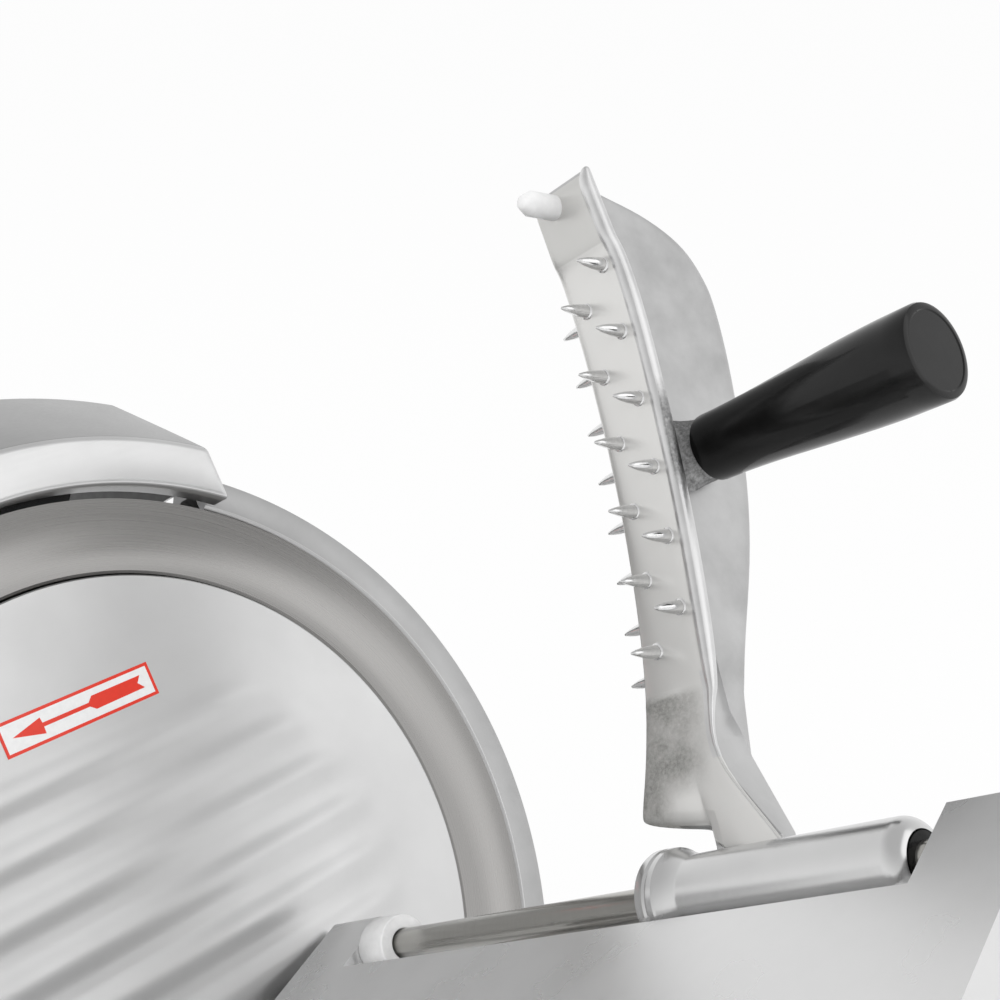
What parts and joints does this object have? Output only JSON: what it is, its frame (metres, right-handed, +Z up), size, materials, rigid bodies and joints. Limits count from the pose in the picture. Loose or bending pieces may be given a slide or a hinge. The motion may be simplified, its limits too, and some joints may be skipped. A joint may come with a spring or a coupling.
{
  "type": "electric food slicer",
  "caption": "Gravity-feed electric food slicer: tilted round blade in a guard ring, sliding aluminium tray, swinging spiked pusher, thickness gauge plate and built-in sharpener.",
  "frame": {"origin": "middle of the overall footprint, on the table under the feet", "axes": "+X to the right of the operator towards the food tray, +Y away from the operator along the travel of the tray, +Z up"},
  "size_m": [0.419, 0.398, 0.426],
  "materials": {
    "cast_aluminium": "satin cast aluminium",
    "painted_grey": "pale grey paint",
    "polished_aluminium": "polished aluminium",
    "stainless": "ground stainless steel",
    "bright_steel": "bright turned steel",
    "dark_steel": "dark steel",
    "grey_pulley": "turned aluminium",
    "black_plastic": "glossy black plastic",
    "black_rubber": "matt black rubber",
    "white_nylon": "white nylon",
    "bronze": "sintered bronze",
    "red_stone": "bonded grit, for its look",
    "white_stone": "bonded grit, for its look",
    "green_button": "green plastic",
    "red_button": "red plastic"
  },
  "bodies": {
    "frame": {"base_casting": "cast_aluminium", "base_cover": "stainless", "rubber_feet": "black_rubber", "base_screws": "dark_steel", "motor_housing": "cast_aluminium", "housing_cover": "cast_aluminium", "housing_screws": "dark_steel", "motor_stator": "dark_steel", "drive_belt": "black_rubber", "spindle_bearings": "dark_steel", "knife_cover": "polished_aluminium", "guard_ring": "painted_grey", "slice_deflector": "stainless", "sharpener_post": "cast_aluminium", "sharpener_body": "painted_grey", "sharpener_springs": "bright_steel", "gauge_slide_bar": "bright_steel", "gauge_bracket": "cast_aluminium", "gauge_turret": "cast_aluminium", "slide_rod": "bright_steel", "switch_plate": "stainless", "switch_block": "black_plastic", "cable_gland": "black_plastic", "capacitor": "white_nylon"},
    "blade_rotor": {"blade": "stainless", "blade_screws": "dark_steel", "blade_spindle": "bright_steel", "blade_pulley": "grey_pulley"},
    "motor_rotor": {"motor_shaft": "bright_steel", "motor_fan": "black_plastic", "motor_pulley": "grey_pulley"},
    "cover_release": {"cover_tie_rod": "bright_steel", "cover_knob": "black_plastic"},
    "sharpener_lid": {"sharpener_cover": "polished_aluminium"},
    "lid_knob": {"sharpener_knob": "black_plastic"},
    "grinding_press": {"grinding_spindle": "bright_steel"},
    "grinding_wheel": {"grinding_stone": "red_stone"},
    "truing_press": {"truing_spindle": "bright_steel"},
    "truing_wheel": {"truing_stone": "white_stone"},
    "gauge": {"gauge_plate": "polished_aluminium", "gauge_arm": "cast_aluminium"},
    "dial": {"dial_shaft": "bright_steel", "gauge_cam": "dark_steel", "dial_knob": "black_plastic"},
    "carriage": {"carriage_tray": "polished_aluminium", "tray_fence": "polished_aluminium", "carriage_leg": "cast_aluminium", "slide_block": "cast_aluminium", "slide_bushes": "bronze", "pusher_rod": "bright_steel", "rod_end_ring": "white_nylon"},
    "roller": {"guide_roller": "black_plastic"},
    "lock_knob": {"tray_lock_knob": "black_plastic"},
    "pusher_sleeve": {"pusher_bushes": "white_nylon"},
    "pusher": {"pusher_casting": "polished_aluminium", "pusher_spikes": "stainless", "pusher_handle": "black_plastic", "pusher_peg": "white_nylon"},
    "start_button": {"on_button": "green_button"},
    "stop_button": {"off_button": "red_button"}
  },
  "joints": [
    {"name": "blade_spin", "type": "hinge", "parent": "frame", "child": "blade_rotor", "pos_m": [-0.04515, 0.036, 0.225], "axis": [0.8434, 0, 0.5373], "continuous": true},
    {"name": "motor_spin", "type": "hinge", "parent": "frame", "child": "motor_rotor", "pos_m": [-0.10262, 0.112, 0.1291], "axis": [0.8434, 0, 0.5373], "continuous": true},
    {"name": "cover_knob_turn", "type": "hinge", "parent": "frame", "child": "cover_release", "pos_m": [-0.18009, 0.036, 0.13903], "axis": [0.8434, 0, 0.5373], "range_deg": [-720, 720]},
    {"name": "sharpener_lid_lift", "type": "slide", "parent": "frame", "child": "sharpener_lid", "axis": [-0.5373, 0, 0.8434], "range_m": [0, 0.045]},
    {"name": "lid_knob_turn", "type": "hinge", "parent": "sharpener_lid", "child": "lid_knob", "pos_m": [-0.17229, 0.036, 0.34082], "axis": [-0.5373, 0, 0.8434], "range_deg": [-720, 720]},
    {"name": "grinding_push", "type": "slide", "parent": "frame", "child": "grinding_press", "axis": [0.8434, 0, 0.5373], "range_m": [0, 0.004], "stiffness_N_per_m": 600},
    {"name": "grinding_stone_spin", "type": "hinge", "parent": "grinding_press", "child": "grinding_wheel", "pos_m": [-0.12815, 0.056, 0.32923], "axis": [0.8434, 0, 0.5373], "continuous": true},
    {"name": "truing_pull", "type": "slide", "parent": "frame", "child": "truing_press", "axis": [-0.8434, 0, -0.5373], "range_m": [0, 0.0012], "stiffness_N_per_m": 600},
    {"name": "truing_stone_spin", "type": "hinge", "parent": "truing_press", "child": "truing_wheel", "pos_m": [-0.11136, 0.016, 0.33637], "axis": [0.8434, 0, 0.5373], "continuous": true},
    {"name": "dial_turn", "type": "hinge", "parent": "frame", "child": "dial", "pos_m": [-0.07286, -0.169, 0.10657], "axis": [0, 1, 0], "range_deg": [0, 300]},
    {"name": "gauge_slide", "type": "slide", "parent": "frame", "child": "gauge", "axis": [0.8434, 0, 0.5373], "range_m": [-0.012, 0]},
    {"name": "carriage_slide", "type": "slide", "parent": "frame", "child": "carriage", "axis": [0, 1, 0], "range_m": [-0.14, 0.06]},
    {"name": "roller_spin", "type": "hinge", "parent": "carriage", "child": "roller", "pos_m": [0.00585, 0.041, 0.04], "axis": [1, 0, 0], "range_deg": [-1200, 1200]},
    {"name": "lock_knob_turn", "type": "hinge", "parent": "carriage", "child": "lock_knob", "pos_m": [0.09985, 0.041, 0.04], "axis": [1, 0, 0], "range_deg": [-720, 720]},
    {"name": "pusher_slide", "type": "slide", "parent": "carriage", "child": "pusher_sleeve", "axis": [0.8434, 0, 0.5373], "range_m": [-0.1, 0.003]},
    {"name": "pusher_swing", "type": "hinge", "parent": "pusher_sleeve", "child": "pusher", "pos_m": [0.113, 0.0768, 0.29315], "axis": [0.8434, 0, 0.5373], "range_deg": [0, 122]},
    {"name": "start_press", "type": "slide", "parent": "frame", "child": "start_button", "axis": [0, 1, 0], "range_m": [0, 0.003], "stiffness_N_per_m": 400},
    {"name": "stop_press", "type": "slide", "parent": "frame", "child": "stop_button", "axis": [0, 1, 0], "range_m": [0, 0.003], "stiffness_N_per_m": 400}
  ],
  "couplings": [
    {"joint": "motor_spin", "follows": "blade_spin", "ratio": 3},
    {"joint": "dial_turn", "follows": "gauge_slide", "rad_per_m": -436.33},
    {"joint": "roller_spin", "follows": "carriage_slide", "rad_per_m": 111.11}
  ]
}
